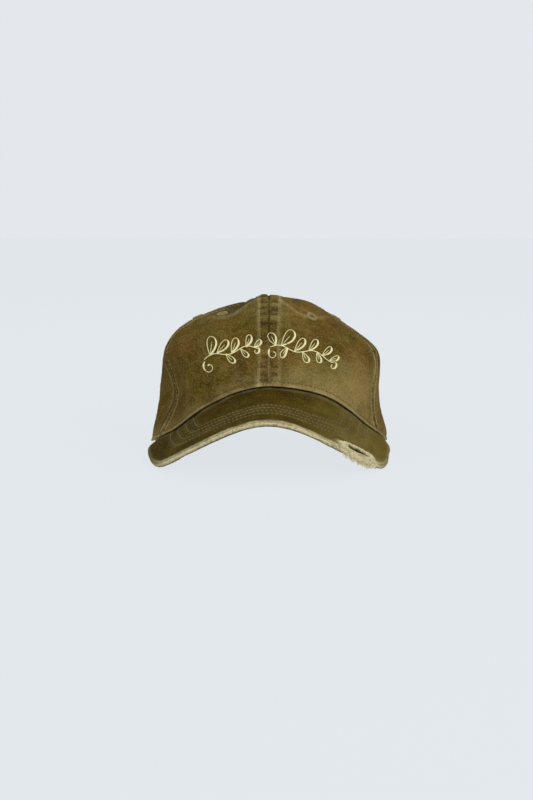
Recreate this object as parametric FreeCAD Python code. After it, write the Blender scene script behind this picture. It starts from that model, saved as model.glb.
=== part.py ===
"""Six-panel soft baseball cap: crown, visor, sweatband and an adjustable strap with a cam buckle.

Millimetres, +Z up.  The cap stands on its rim and visor tips at Z = 0 and faces -Y, so the
wearer's left is +X.  The model is built about the middle of the crown and is then moved along Y,
so that the origin ends up under the middle of the whole cap.
"""
import FreeCAD, Part

import math
import os

from FreeCAD import Matrix, Vector

# ---- driving dimensions ---------------------------------------------------------------------
CROWN_HALF_WIDTH = 88.0      # rim, across
CROWN_HALF_LENGTH = 96.4     # rim, front to back
CROWN_HEIGHT = 110.0
CROWN_WIDTH_POWER = 2.0      # the crown's side view is a superellipse of these two powers
CROWN_HEIGHT_POWER = 3.4
CROWN_LEAN = 0.10            # forward lean of the crown, per millimetre of height
CLOTH = 1.2                  # crown wall: twill with its turnings
RIM_LEVEL = 0.05             # the rim is cut level here
APEX_HOLE = 1.6              # radius left open at the top for the button's stem
FRONT_SEAM_ANGLE = 64.0      # seam between front and side panels, in degrees from the front
REAR_SEAM_ANGLE = 120.0      # seam between side and back panels

ARCH_RISE = 54.3             # height of the crown's lower edge over the middle of the visor
ARCH_HALF_WIDTH = 86.0       # where that arch meets the rim
REAR_WINDOW_HALF_WIDTH = 46.0
REAR_WINDOW_HEIGHT = 60.0
BINDING_WIDTH = 6.0

TAPE_WIDTH = 14.0
TAPE_THICK = 0.5
TAPE_INSET = CLOTH + 0.15
SWEATBAND_HEIGHT = 32.0
SWEATBAND_INSET = 4.4
SWEATBAND_THICK = 0.9
SWEATBAND_END_ANGLE = 131.0

VISOR_LENGTH = 68.0          # seam to front edge at the middle, in plan
VISOR_HALF_WIDTH = 85.0
VISOR_WIDEST_Y = -78.0
VISOR_OUTLINE_POWER = 2.5
VISOR_DROP = 14.5            # fall from the seam to the front edge at the middle
VISOR_ARCH_FACTOR = 0.94     # how deep the visor's arch is, as a hyperbola of this
VISOR_ARCH_FLAT = 45.0       # half-angle slope and this rounding at the middle
VISOR_END_HEIGHT = 3.0       # top of the visor beside the crown's sides
VISOR_END_ANGLE = 66.0
VISOR_CLOTH = 0.8
VISOR_BOARD = 2.0
VISOR_GAP = 0.15
VISOR_SECTIONS = 23

EYELET_PLACES = {            # angle from the front, and the profile's own angle up the panel
    "front": (43.0, 60.0),
    "side": (92.0, 52.0),
    "back": (150.0, 54.0),
}
EYELET_HOLE = 2.6
EYELET_RIM = 4.4

BUTTON_RADIUS = 8.0
BUTTON_HEIGHT = 3.3

STRAP_WIDTH = 20.0
STRAP_LOW = 3.5
STRAP_THICK = 1.4
STRAP_RIGHT_BEND = -30.0     # where it leaves its curve for the sewn end, in degrees from +Y
STRAP_END_LENGTH = 23.0      # straight run to the sewn end
STRAP_LEFT_END = 25.0        # just past the buckle
STRAP_LAYER_GAP = 0.35
TAIL_START = 6.0
TAIL_END = 46.0
BUCKLE_ANGLE = 16.0
TAB_THICK = 1.0

# ---- derived places -------------------------------------------------------------------------
LENGTH_RATIO = CROWN_HALF_LENGTH / CROWN_HALF_WIDTH
BACK_RADIUS = CROWN_HALF_WIDTH ** 2 / CROWN_HALF_LENGTH   # curvature of the rim at the back
BACK_CENTRE_Y = CROWN_HALF_LENGTH - BACK_RADIUS
WALL_AT_STRAP = BACK_RADIUS - CLOTH - CROWN_LEAN * (STRAP_LOW + STRAP_WIDTH)
TAB_OUTER = WALL_AT_STRAP - 0.6
STRAP_OUTER = TAB_OUTER - 2.5
TAIL_OUTER = STRAP_OUTER - STRAP_THICK - STRAP_LAYER_GAP
VISOR_STACK = 2 * VISOR_CLOTH + VISOR_BOARD + 2 * VISOR_GAP
CAP_FRONT_Y = -98.0 - VISOR_LENGTH
Z_AXIS = Vector(0, 0, 1)
FAR = 200.0


# ---- crown ----------------------------------------------------------------------------------
def profile_point(angle, inset=0.0):
    """Point (radius, height) on the crown's side view; angle is 0 at the rim, 90 at the top."""
    def on_curve(a):
        a = math.radians(a)
        return (CROWN_HALF_WIDTH * math.cos(a) ** (2 / CROWN_WIDTH_POWER),
                CROWN_HEIGHT * math.sin(a) ** (2 / CROWN_HEIGHT_POWER))
    radius, height = on_curve(angle)
    if angle <= 0:
        return radius - inset, height
    before, after = on_curve(max(angle - 0.05, 0)), on_curve(min(angle + 0.05, 90))
    along = Vector(after[0] - before[0], after[1] - before[1], 0).normalize()
    return radius - inset * along.y, height + inset * along.x


def top_angle(inset, radius):
    """Profile angle at which the inset curve comes within that radius of the axis."""
    low, high = 45.0, 90.0
    for _ in range(40):
        middle = (low + high) / 2
        if profile_point(middle, inset)[0] > radius:
            low = middle
        else:
            high = middle
    return low


def profile_curve(inset, start, stop, count=17):
    """Spline in the XZ plane along the inset profile between two profile angles."""
    ends = [start + (stop - start) * math.sin(math.radians(90 * i / (count - 1)))
            for i in range(count)]
    points = [Vector(r, 0, z) for r, z in (profile_point(a, inset) for a in ends)]
    curve = Part.BSplineCurve()
    curve.interpolate(points)
    return curve.toShape()


def crown_stretch(shape):
    """Stretches a round crown piece to its oval plan and leans it forward."""
    matrix = Matrix()
    matrix.A22 = LENGTH_RATIO
    matrix.A23 = -CROWN_LEAN
    return shape.transformGeometry(matrix)


def crown_shell(outer_inset, inner_inset, first_angle, last_angle, hole, low=0.0):
    """Solid between two insets of the crown, swept between two angles from the front."""
    outer = profile_curve(outer_inset, low, top_angle(outer_inset, hole))
    inner = profile_curve(inner_inset, low, top_angle(inner_inset, hole))
    outer_low, outer_high = outer.Vertexes[0].Point, outer.Vertexes[-1].Point
    inner_low, inner_high = inner.Vertexes[0].Point, inner.Vertexes[-1].Point
    wire = Part.Wire([outer, Part.makeLine(outer_high, inner_high), inner,
                      Part.makeLine(inner_low, outer_low)])
    face = Part.Face(wire)
    face.rotate(Vector(), Z_AXIS, first_angle - 90)
    return crown_stretch(face.revolve(Vector(), Z_AXIS, last_angle - first_angle))


def crown_place(angle, profile_angle, inset=0.0):
    """Point on the crown and the outward direction there."""
    def at(around, up):
        radius, height = profile_point(up, inset)
        turn = math.radians(around)
        return Vector(radius * math.sin(turn),
                      -radius * math.cos(turn) * LENGTH_RATIO - CROWN_LEAN * height, height)
    here = at(angle, profile_angle)
    across = at(angle + 0.5, profile_angle) - here
    upward = at(angle, profile_angle + 0.5) - here
    return here, across.cross(upward).normalize()


def arch_tool(half_width, rise, foot=-10.0):
    """Solid under the visor's arch, for the part of the crown in front of the rim's ends."""
    curve = Part.BezierCurve()
    curve.setPoles([Vector(-half_width, -FAR, 0), Vector(0, -FAR, 2 * rise),
                    Vector(half_width, -FAR, 0)])
    ground = Part.makePolygon([Vector(half_width, -FAR, 0), Vector(half_width, -FAR, foot),
                               Vector(-half_width, -FAR, foot), Vector(-half_width, -FAR, 0)])
    face = Part.Face(Part.Wire([curve.toShape()] + ground.Edges))
    split_y = -CROWN_HALF_LENGTH * math.sqrt(1 - (ARCH_HALF_WIDTH / CROWN_HALF_WIDTH) ** 2)
    return face.extrude(Vector(0, FAR + split_y, 0))


def window_tool(grow):
    """Half-moon cutter for the opening at the back."""
    half, high = REAR_WINDOW_HALF_WIDTH + grow, REAR_WINDOW_HEIGHT + grow
    oval = Part.Ellipse(Vector(), max(half, high), min(half, high)).toShape()
    face = Part.Face(Part.Wire([oval]))
    if high > half:
        face.rotate(Vector(), Z_AXIS, 90)
    face.rotate(Vector(), Vector(1, 0, 0), 90)
    return face.extrude(Vector(0, FAR, 0))


def ground_tool():
    """Levels the rim, so that the cap stands on a flat edge."""
    return Part.makeBox(2 * FAR, 2 * FAR, 10, Vector(-FAR, -FAR, RIM_LEVEL - 10))


def make_panels():
    """The six crown panels, each a wall of cloth between two seams."""
    bounds = {
        "front_panel_left": (0, FRONT_SEAM_ANGLE),
        "side_panel_left": (FRONT_SEAM_ANGLE, REAR_SEAM_ANGLE),
        "back_panel_left": (REAR_SEAM_ANGLE, 180),
        "back_panel_right": (180, 360 - REAR_SEAM_ANGLE),
        "side_panel_right": (360 - REAR_SEAM_ANGLE, 360 - FRONT_SEAM_ANGLE),
        "front_panel_right": (360 - FRONT_SEAM_ANGLE, 360),
    }
    arch = arch_tool(ARCH_HALF_WIDTH, ARCH_RISE + 0.3)
    window = window_tool(BINDING_WIDTH)
    ground = ground_tool()
    panels = {}
    for name, (first, last) in bounds.items():
        panel = crown_shell(0, CLOTH, first, last, APEX_HOLE)
        if "back" in name:
            panel = panel.cut(window)
        else:
            panel = panel.cut(arch)
        around, up = EYELET_PLACES[name.split("_")[0]]
        around = around if "left" in name else 360 - around
        here, outward = crown_place(around, up)
        hole = Part.makeCylinder(EYELET_HOLE, 8, here - outward * 4, outward)
        panels[name] = panel.cut(hole).cut(ground)
    return panels


def make_binding():
    """Folded tape round the half-moon opening, a little thicker than the cloth."""
    ring = window_tool(BINDING_WIDTH - 0.1).cut(window_tool(0))
    return crown_shell(-0.4, CLOTH + 0.4, 120, 240, APEX_HOLE).common(ring).cut(ground_tool())


def make_tapes():
    """Binding tapes that cover the six seams inside the crown."""
    seams = {
        "seam_tape_front": 0.0,
        "seam_tape_front_left": FRONT_SEAM_ANGLE,
        "seam_tape_rear_left": REAR_SEAM_ANGLE,
        "seam_tape_back": 180.0,
        "seam_tape_rear_right": 360 - REAR_SEAM_ANGLE,
        "seam_tape_front_right": 360 - FRONT_SEAM_ANGLE,
    }
    tapes = {}
    for name, angle in seams.items():
        shell = crown_shell(TAPE_INSET, TAPE_INSET + TAPE_THICK, angle - 20, angle + 20, TAPE_WIDTH)
        turn = math.radians(angle)
        along = Vector(math.sin(turn), -math.cos(turn) * LENGTH_RATIO, 0).normalize()
        slab = Part.makeBox(FAR, TAPE_WIDTH, FAR, Vector(0, -TAPE_WIDTH / 2, 0.6))
        slab.rotate(Vector(), Z_AXIS, math.degrees(math.atan2(along.y, along.x)))
        lean = Matrix()
        lean.A23 = -CROWN_LEAN
        tape = shell.common(slab.transformGeometry(lean))
        if abs(angle - 180) < 1:
            tape = tape.cut(window_tool(BINDING_WIDTH + 1))
        else:
            tape = tape.cut(arch_tool(ARCH_HALF_WIDTH, ARCH_RISE + 1.5))
        tapes[name] = tape
    return tapes


def make_sweatband():
    """Band inside the rim, from one side of the rear opening round the front to the other."""
    half_width = ARCH_HALF_WIDTH - SWEATBAND_INSET
    lower = arch_tool(half_width, ARCH_RISE - 1.5)
    upper = arch_tool(half_width, ARCH_RISE - 1.5, foot=-SWEATBAND_HEIGHT - 10)
    upper.translate(Vector(0, 0, SWEATBAND_HEIGHT))
    split_y = upper.BoundBox.YMax
    rear = Part.makeBox(2 * FAR, FAR, SWEATBAND_HEIGHT + 10, Vector(-FAR, split_y, -10))
    above = Part.makeBox(2 * FAR, 2 * FAR, FAR, Vector(-FAR, -FAR, -10)).cut(upper).cut(rear)
    halves = []
    for first, last in ((-SWEATBAND_END_ANGLE, 0), (0, SWEATBAND_END_ANGLE)):
        shell = crown_shell(SWEATBAND_INSET, SWEATBAND_INSET + SWEATBAND_THICK, first, last,
                            APEX_HOLE, 0.002)
        halves.append(shell.cut(lower).cut(above))
    return halves[0].fuse(halves[1]).removeSplitter()


def make_eyelets():
    """Stitched ring round the air hole of each panel."""
    rings = {}
    for place, (around, up) in EYELET_PLACES.items():
        for side, angle in (("left", around), ("right", 360 - around)):
            here, outward = crown_place(angle, up)
            flange = Part.makeCylinder(EYELET_RIM, 0.6, here + outward * 0.35, outward)
            sleeve = Part.makeCylinder(EYELET_HOLE - 0.1, 2.6, here - outward * 1.9, outward)
            bore = Part.makeCylinder(EYELET_HOLE - 0.8, 10, here - outward * 5, outward)
            rings[f"eyelet_{place}_{side}"] = flange.fuse(sleeve).cut(bore).removeSplitter()
    return rings


def make_button():
    """Covered button on top of the crown, and the stem and washer that hold it from inside."""
    y_top = -CROWN_LEAN * CROWN_HEIGHT
    base = Vector(0, y_top, CROWN_HEIGHT + 0.3)
    dome_radius = (BUTTON_RADIUS ** 2 + BUTTON_HEIGHT ** 2) / (2 * BUTTON_HEIGHT)
    ball = Part.makeSphere(dome_radius, base + Vector(0, 0, BUTTON_HEIGHT - dome_radius))
    slab = Part.makeCylinder(BUTTON_RADIUS + 1, BUTTON_HEIGHT + 1, base)
    button = ball.common(slab)
    socket = Part.makeCylinder(1.25, 2.0, base)
    stem = Part.makeCylinder(1.2, 5.4, base - Vector(0, 0, 3.6))
    washer = Part.makeCylinder(6.0, 0.8, base - Vector(0, 0, 3.6))
    return button.cut(socket), stem.fuse(washer).removeSplitter()


def make_label():
    """Blank woven label on the inside of the wearer's right back panel."""
    shell = crown_shell(CLOTH + 0.2, CLOTH + 0.6, 205, 235, APEX_HOLE)
    window = Part.makeBox(22, FAR, 14, Vector(-64, 0, 38))
    return shell.common(window)


def make_embroidery():
    """Ground of the stitched sprig across both front panels, proud of the cloth."""
    shell = crown_shell(-0.7, -0.2, -50, 50, APEX_HOLE)
    def arc(radius, middle_z, half):
        side_z = middle_z - radius + math.sqrt(radius ** 2 - half ** 2)
        return (Vector(-half, -FAR, side_z), Vector(0, -FAR, middle_z), Vector(half, -FAR, side_z))
    upper, lower = arc(130, 86, 46), arc(130, 76, 46)
    wire = Part.Wire([Part.Arc(*upper).toShape(), Part.makeLine(upper[2], lower[2]),
                      Part.Arc(*lower).toShape(), Part.makeLine(lower[0], upper[0])])
    return shell.common(Part.Face(wire).extrude(Vector(0, FAR, 0)))


# ---- visor ----------------------------------------------------------------------------------
def seam_point(share):
    """Point under the crown's front edge; share runs from -1 to 1 across the visor."""
    angle = math.radians(VISOR_END_ANGLE * share)
    x = (CROWN_HALF_WIDTH - CLOTH) * math.sin(angle)
    z = ARCH_RISE * (1 - (x / ARCH_HALF_WIDTH) ** 2)
    narrowing = math.sqrt(1 - (z / CROWN_HEIGHT) ** CROWN_HEIGHT_POWER)
    y = -(CROWN_HALF_LENGTH * narrowing - CLOTH) * math.cos(angle) - CROWN_LEAN * z
    return Vector(x * narrowing, y, z)


def outline_point(share):
    """Point on the visor's free edge, from the wearer's right end to the left one."""
    turn = 115 * share
    a = math.radians(abs(turn))
    power = 2 / VISOR_OUTLINE_POWER
    if abs(turn) <= 90:
        x = VISOR_HALF_WIDTH * math.sin(a) ** power
        y = VISOR_WIDEST_Y + (CAP_FRONT_Y - VISOR_WIDEST_Y) * math.cos(a) ** power
    else:
        behind = (abs(turn) - 90) / 25
        x = VISOR_HALF_WIDTH - 2.5 * behind ** 2
        y = VISOR_WIDEST_Y + 35.0 * behind
    x = math.copysign(x, turn)
    rise = VISOR_DROP * (y - CAP_FRONT_Y) / VISOR_LENGTH
    arch = VISOR_ARCH_FACTOR * (math.hypot(x, VISOR_ARCH_FLAT) - VISOR_ARCH_FLAT)
    z = ARCH_RISE - VISOR_DROP + rise - arch
    side = min(max((y + 115.0) / 40.0, 0), 1)
    side = side * side * (3 - 2 * side)
    return Vector(x, y, z * (1 - side) + VISOR_END_HEIGHT * side)


def visor_section(share, corners):
    """Flat cross-section of a visor layer on the line from the seam to the free edge.

    corners lists (millimetres in from the seam or, if negative, from the free edge; depth)."""
    start, end = seam_point(share), outline_point(share)
    step = 0.01 if share < 0.5 else -0.01
    beside = (seam_point(share + step) + outline_point(share + step)) / 2
    across = beside - (start + end) / 2
    forward = end - start
    span = forward.Length
    forward.normalize()
    downward = across.cross(forward).normalize()
    if downward.z > 0:
        downward = downward * -1
    points = [start + forward * (d if d >= 0 else span + d) + downward * depth
              for d, depth in corners]
    return Part.makePolygon(points + points[:1])


def visor_layer(corners):
    """Solid through the same cross-section at many places across the visor."""
    turns = [90 * (2 * i / (VISOR_SECTIONS - 1) - 1) for i in range(VISOR_SECTIONS)]
    wires = [visor_section(math.sin(math.radians(turn)), corners) for turn in turns]
    return Part.makeLoft(wires, True, False)


def make_visor():
    """Top cloth with its turned edge, stiff board, and under cloth."""
    edge = -0.01
    board_top = VISOR_CLOTH + VISOR_GAP
    board_low = board_top + VISOR_BOARD
    under_top = board_low + VISOR_GAP
    top = visor_layer([(0, 0), (edge, 0), (edge, under_top - VISOR_GAP),
                       (-0.9, under_top - VISOR_GAP), (-0.9, VISOR_CLOTH), (0, VISOR_CLOTH)])
    board = visor_layer([(0.8, board_top), (-1.2, board_top), (-1.2, board_low), (0.8, board_low)])
    under = visor_layer([(0, under_top), (edge, under_top), (edge, VISOR_STACK), (0, VISOR_STACK)])
    return {"visor_top_cloth": top, "visor_board": board, "visor_under_cloth": under}


# ---- closure --------------------------------------------------------------------------------
def at_back(shape, angle=0.0):
    """Moves a closure piece from its own frame to the back of the crown."""
    shape = shape.copy()
    shape.rotate(Vector(), Z_AXIS, -angle)
    shape.translate(Vector(0, BACK_CENTRE_Y, 0))
    return shape


def arc_band(inner, outer, first, last, low, high):
    """Upright band about the closure's axis between two angles measured from +Y towards +X."""
    ring = Part.makeCylinder(outer, high - low, Vector(0, 0, low), Z_AXIS, last - first)
    ring = ring.cut(Part.makeCylinder(inner, high - low, Vector(0, 0, low)))
    ring.rotate(Vector(), Z_AXIS, 90 - last)
    return ring


def block(x0, x1, y0, y1, z0, z1):
    """Box between two values on each axis."""
    return Part.makeBox(x1 - x0, y1 - y0, z1 - z0, Vector(x0, y0, z0))


def make_closure():
    """Strap, its sliding tail, the buckle's tab, frame, pin and cam lever."""
    inner, outer = STRAP_OUTER - STRAP_THICK, STRAP_OUTER
    low, high = STRAP_LOW, STRAP_LOW + STRAP_WIDTH
    strap = arc_band(inner, outer, STRAP_RIGHT_BEND, STRAP_LEFT_END, low, high)
    sewn_end = block(-STRAP_END_LENGTH, 0, inner, outer, low, high)
    sewn_end.rotate(Vector(), Z_AXIS, -STRAP_RIGHT_BEND)
    strap = strap.fuse(sewn_end).removeSplitter()
    tail = arc_band(TAIL_OUTER - STRAP_THICK, TAIL_OUTER, TAIL_START, TAIL_END, low, high)

    cheek_low, cheek_high = low - 2.1, high + 2.1
    cheek_thick, cheek_out = 1.6, outer + 3.9
    plate_in = TAIL_OUTER - STRAP_THICK - 1.9
    pin_x, pin_y = 3.5, outer + 2.3
    bar_x, bar_y = 11.0, outer + 1.25
    frame = block(-9, 9, plate_in, plate_in + 1.0, cheek_low, cheek_high)
    for z in (cheek_low, cheek_high - cheek_thick):
        frame = frame.fuse(block(-9, 12.2, plate_in, cheek_out, z, z + cheek_thick))
    bar = Part.makeCylinder(0.9, cheek_high - cheek_low, Vector(bar_x, bar_y, cheek_low))
    pin_hole = Part.makeCylinder(1.03, 60, Vector(pin_x, pin_y, -10))
    frame = frame.fuse(bar).cut(pin_hole).removeSplitter()
    pin = Part.makeCylinder(1.0, cheek_high - cheek_low + 0.6, Vector(pin_x, pin_y, cheek_low - 0.3))

    lever_low, lever_high = low + 0.1, high - 0.1
    plate = block(-11.5, pin_x, outer + 2.0, outer + 3.2, lever_low, lever_high)
    barrel = Part.makeCylinder(2.0, lever_high - lever_low, Vector(pin_x, pin_y, lever_low))
    bore = Part.makeCylinder(1.06, 60, Vector(pin_x, pin_y, -10))
    lever = plate.fuse(barrel).cut(bore).removeSplitter()

    tab_low, tab_high = low + 0.6, high - 0.6
    bar_turn = math.degrees(math.atan2(bar_x, bar_y)) + BUCKLE_ANGLE
    bar_radius = math.hypot(bar_x, bar_y)
    turn = math.radians(bar_turn)
    centre = Vector(bar_radius * math.sin(turn), bar_radius * math.cos(turn), tab_low)
    loop = Part.makeCylinder(1.65, tab_high - tab_low, centre)
    slab = arc_band(TAB_OUTER - TAB_THICK, TAB_OUTER, bar_turn, bar_turn + 20, tab_low, tab_high)
    hollow = Part.makeCylinder(0.96, tab_high - tab_low, centre)
    tab = loop.fuse(slab).cut(hollow).removeSplitter()
    return {
        "strap": at_back(strap),
        "strap_tail": at_back(tail),
        "buckle_tab": at_back(tab),
        "buckle_frame": at_back(frame, BUCKLE_ANGLE),
        "buckle_pin": at_back(pin, BUCKLE_ANGLE),
        "buckle_lever": at_back(lever, BUCKLE_ANGLE),
    }


# ---- the whole cap --------------------------------------------------------------------------
def main():
    nodes = {}
    nodes.update(make_panels())
    nodes.update(make_tapes())
    nodes["rear_arch_binding"] = make_binding()
    nodes["sweatband"] = make_sweatband()
    nodes.update(make_eyelets())
    nodes["top_button"], nodes["button_stem"] = make_button()
    nodes["inside_label"] = make_label()
    nodes["front_embroidery"] = make_embroidery()
    nodes.update(make_visor())
    nodes.update(make_closure())
    box = Part.makeCompound(list(nodes.values())).optimalBoundingBox(True, False)
    shift = Vector(0, -(box.YMin + box.YMax) / 2, -RIM_LEVEL)
    print(f"moved by {shift}; lowest point was at {box.ZMin:.3f}")
    print(f"strap axis at Y {BACK_CENTRE_Y + shift.y:.3f}")
    os.makedirs("parts", exist_ok=True)
    for name, shape in nodes.items():
        shape = shape.copy()
        shape.translate(shift)
        solids = shape.Solids
        print(f"{name:22s} solids {len(solids)} valid {shape.isValid()} volume {shape.Volume:.1f}")
        whole = solids[0] if len(solids) == 1 else Part.makeCompound(solids)
        whole.exportStep(f"parts/{name}.step")


main()
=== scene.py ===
"""The looks of a soft washed-twill baseball cap, built over its CAD frame.

Shapes are worked out in millimetres about the middle of the crown: x to the wearer's left, -y to
the front, z up.  make_mesh() moves them to the row frame and to metres.
"""
import math

import bpy
import numpy as np
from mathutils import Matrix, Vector
from mathutils.bvhtree import BVHTree


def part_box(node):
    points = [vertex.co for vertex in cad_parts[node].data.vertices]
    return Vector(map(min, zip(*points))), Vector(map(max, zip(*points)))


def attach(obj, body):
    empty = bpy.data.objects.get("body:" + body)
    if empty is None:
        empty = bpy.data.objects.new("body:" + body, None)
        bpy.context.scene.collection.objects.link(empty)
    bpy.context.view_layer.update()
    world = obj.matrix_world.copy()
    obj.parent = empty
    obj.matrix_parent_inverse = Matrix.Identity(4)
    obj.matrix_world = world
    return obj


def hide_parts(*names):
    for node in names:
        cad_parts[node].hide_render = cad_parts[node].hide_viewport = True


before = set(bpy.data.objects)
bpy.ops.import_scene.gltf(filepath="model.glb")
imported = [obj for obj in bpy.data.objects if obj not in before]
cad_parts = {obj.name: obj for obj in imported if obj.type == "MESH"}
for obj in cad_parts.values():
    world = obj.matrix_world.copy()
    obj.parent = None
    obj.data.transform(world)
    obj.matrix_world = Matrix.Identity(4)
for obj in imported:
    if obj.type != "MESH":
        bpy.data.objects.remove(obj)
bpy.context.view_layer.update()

pi = math.pi
rad = math.radians

# ---- sizes shared with the frame ----
HALF_WIDTH, HALF_LENGTH, HEIGHT = 88.0, 96.4, 110.0
LEAN = 0.10
HEIGHT_POWER = 3.4
ARCH_RISE, ARCH_HALF = 54.3, 88.0
WINDOW_HALF, WINDOW_HIGH = 49.0, 63.0          # middle line of the rear binding
FRONT_SEAM, REAR_SEAM = rad(64), rad(120)
SEAMS = {"front": 0, "front_left": FRONT_SEAM, "rear_left": REAR_SEAM, "back": pi,
         "rear_right": -REAR_SEAM, "front_right": -FRONT_SEAM}
button_low, button_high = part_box("top_button")
SHIFT_Y = (button_low.y + button_high.y) / 2 * 1000 + LEAN * HEIGHT


# ---- smooth noise ----
LATTICE = np.random.default_rng(11).random((24, 24, 24)) * 2 - 1


def noise(points, size, seed=0.0):
    """Smooth noise from -1 to 1 with features of that size, in millimetres."""
    q = np.asarray(points, float) / size + seed
    cell = np.floor(q).astype(int)
    f = q - cell
    f = f * f * (3 - 2 * f)
    total = 0.0
    for corner in np.ndindex(2, 2, 2):
        weight = 1.0
        for k in range(3):
            weight = weight * (f[..., k] if corner[k] else 1 - f[..., k])
        i, j, k = ((cell[..., k] + corner[k]) % 24 for k in range(3))
        total = total + weight * LATTICE[i, j, k]
    return total


def bell(distance, width):
    return np.exp(-0.5 * (distance / width) ** 2)


def step(low, high, value):
    """Goes smoothly from 0 at low to 1 at high."""
    t = np.clip((value - low) / (high - low), 0, 1)
    return t * t * (3 - 2 * t)


def blob(p, centre, size):
    """Bell-shaped weight of points about a centre, with its own size along each axis."""
    return np.exp(-0.5 * (((p - centre) / np.array(size)) ** 2).sum(-1))


def pushed(p, pushes):
    """Points after soft pushes, each given by its centre, its size and its shift."""
    moved = p.copy()
    for centre, size, shift in pushes:
        moved += blob(p, centre, size)[..., None] * np.array(shift)
    return moved


def grain(x, y, z, size, seed=0.0):
    """Smooth noise at places made of three values, each a number or an array."""
    return noise(np.stack(np.broadcast_arrays(x, y, z), -1), size, seed)


def unit(vectors):
    return vectors / np.maximum(np.linalg.norm(vectors, axis=-1, keepdims=True), 1e-9)


def distance_along(line):
    """Length of a polyline up to each of its points."""
    return np.concatenate([[0], np.cumsum(np.linalg.norm(np.diff(line, axis=0), axis=1))])


def grid_faces(rows, columns, wrap=(0, 0)):
    """Quads of a grid of numbered points; wrap says whether its rows or columns form a ring."""
    index = np.arange(rows * columns).reshape(rows, columns)
    index = np.pad(index, ((0, wrap[0]), (0, wrap[1])), "wrap")
    quads = [index[:-1, :-1], index[:-1, 1:], index[1:, 1:], index[1:, :-1]]
    return np.stack(quads, -1).reshape(-1, 4)


def cell_middles(grid):
    return (grid[1:, 1:] + grid[:-1, :-1]) / 2


# ---- crown ----
# Soft pushes that give the worn crown its slouch: centre, size and shift, each along x, y, z.
SLOUCH = [
    ((-1, -34, 112), (23, 26, 30), (0.5, -1, 8.4)),       # peak behind the front seam
    ((30, -34, 108), (11, 26, 24), (0, -1, 2.6)),         # its broad left shoulder
    ((0, -8, 112), (17, 15, 20), (0, 0, -6.0)),           # dip round the button
    ((-76, -38, 43), (13, 24, 15), (9.5, 4, 0)),          # fold of the right-hand front seam
    ((-66, -50, 76), (14, 20, 10), (-4.0, -3, 1)),        # roll above that fold
    ((-26, -34, 106), (8, 15, 7), (1, 5, -3.0)),          # hollow behind the top crease
    ((82, -16, 73), (12, 34, 14), (6.0, 0, 1)),           # full left side
    ((84, -14, 62), (18, 60, 28), (2.0, 0, 0.3)),
    ((-84, -10, 56), (16, 60, 28), (-0.9, 0, 0)),
    ((-74, -10, 72), (12, 40, 14), (-3.5, 0, 0)),         # full right side
    ((-66, -16, 92), (12, 34, 10), (-3.0, 0, 1.5)),
    ((88, 0, 40), (16, 60, 14), (-1.8, 0, 0)),
    ((-88, 0, 30), (16, 60, 10), (1.2, 0, 0)),
    ((-88, -34, 4), (12, 22, 10), (-4.9, -2, 0)),          # lower front corners of the sides
    ((88, -30, 6), (16, 40, 10), (5.4, 0, 0)),
    ((-20, 62, 92), (26, 22, 18), (0, -3, -3.5)),         # slack back
    ((34, 74, 66), (18, 18, 14), (1, 3, 0)),
    ((-62, 54, 58), (20, 20, 22), (-2, 2, 0)),
]


def slouch(p):
    """Moves points of the smooth crown to where the soft worn cloth lies."""
    moved = pushed(p, SLOUCH)
    lift = step(4, 40, p[..., 2])
    moved[..., 0] += lift * (1.1 * noise(p, 34, 1.3) + 0.35 * noise(p, 13, 4.1))
    moved[..., 1] += lift * (1.1 * noise(p, 34, 6.7) + 0.35 * noise(p, 13, 8.9))
    moved[..., 2] += lift * 0.7 * noise(p, 30, 3.1)
    return moved


def height_at(v):
    return HEIGHT * np.sin(np.maximum(v, 0)) ** (2 / HEIGHT_POWER)


def new_crown(a, v):
    """Point of the crown as sewn, at angle a from the front and profile angle v from the rim."""
    r, z = np.cos(v), height_at(v)
    return np.stack([HALF_WIDTH * r * np.sin(a), -HALF_LENGTH * r * np.cos(a) - LEAN * z, z], -1)


def worn_crown(a, v):
    """The same after wear.  Near the top the front seams swing back, because the front panels
    are the broad ones there."""
    swing = np.where(a > 0, rad(15), rad(11)) * step(38, 88, height_at(v))
    side = np.abs(a)
    a = a + np.sign(a) * swing * bell(side - FRONT_SEAM, rad(26)) * step(0, rad(25), side)
    return slouch(new_crown(a, v))


def crown_frame(a, v):
    """Point on the worn crown, and the outward direction there."""
    a, v = np.broadcast_arrays(np.asarray(a, float), np.asarray(v, float))
    v = np.clip(v, 0, pi / 2 - 0.004)
    e = 0.004
    across = worn_crown(a + e, v) - worn_crown(a - e, v)
    above, below = np.minimum(v + e, pi / 2 - 0.002), np.maximum(v - e, 0)
    return worn_crown(a, v), unit(np.cross(across, worn_crown(a, above) - worn_crown(a, below)))


# Profile angles with the heights and lengths of cloth that go with them.
TABLE_V = np.linspace(0, pi / 2, 900)
TABLE_Z = height_at(TABLE_V)
TABLE_R = 0.5 * (HALF_WIDTH + HALF_LENGTH) * np.cos(TABLE_V)
MEAN_RADIUS = 92.0
TABLE_S = distance_along(np.stack([TABLE_Z, TABLE_R], -1))


def at_height(z):
    """Profile angle of a height above the rim."""
    return np.interp(z, TABLE_Z, TABLE_V)


def climb(v):
    """Length of cloth from the rim up to a profile angle."""
    return np.interp(v, TABLE_V, TABLE_S)


def at_climb(s):
    return np.interp(s, TABLE_S, TABLE_V)


def climb_at_radius(radius):
    """Climb of the ring of that radius round the crown's top."""
    return climb(math.acos(radius / MEAN_RADIUS))


def reach(a, v):
    """Millimetres of cloth per radian round the crown."""
    return np.cos(v) * np.hypot(HALF_WIDTH * np.cos(a), HALF_LENGTH * np.sin(a))


def arch_height(x):
    """Height of the crown's lower edge over the visor."""
    power = np.where(x < 0, 1.8, 2.45)
    return ARCH_RISE * (1 - np.minimum(np.abs(x) / ARCH_HALF, 1) ** power)


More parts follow.
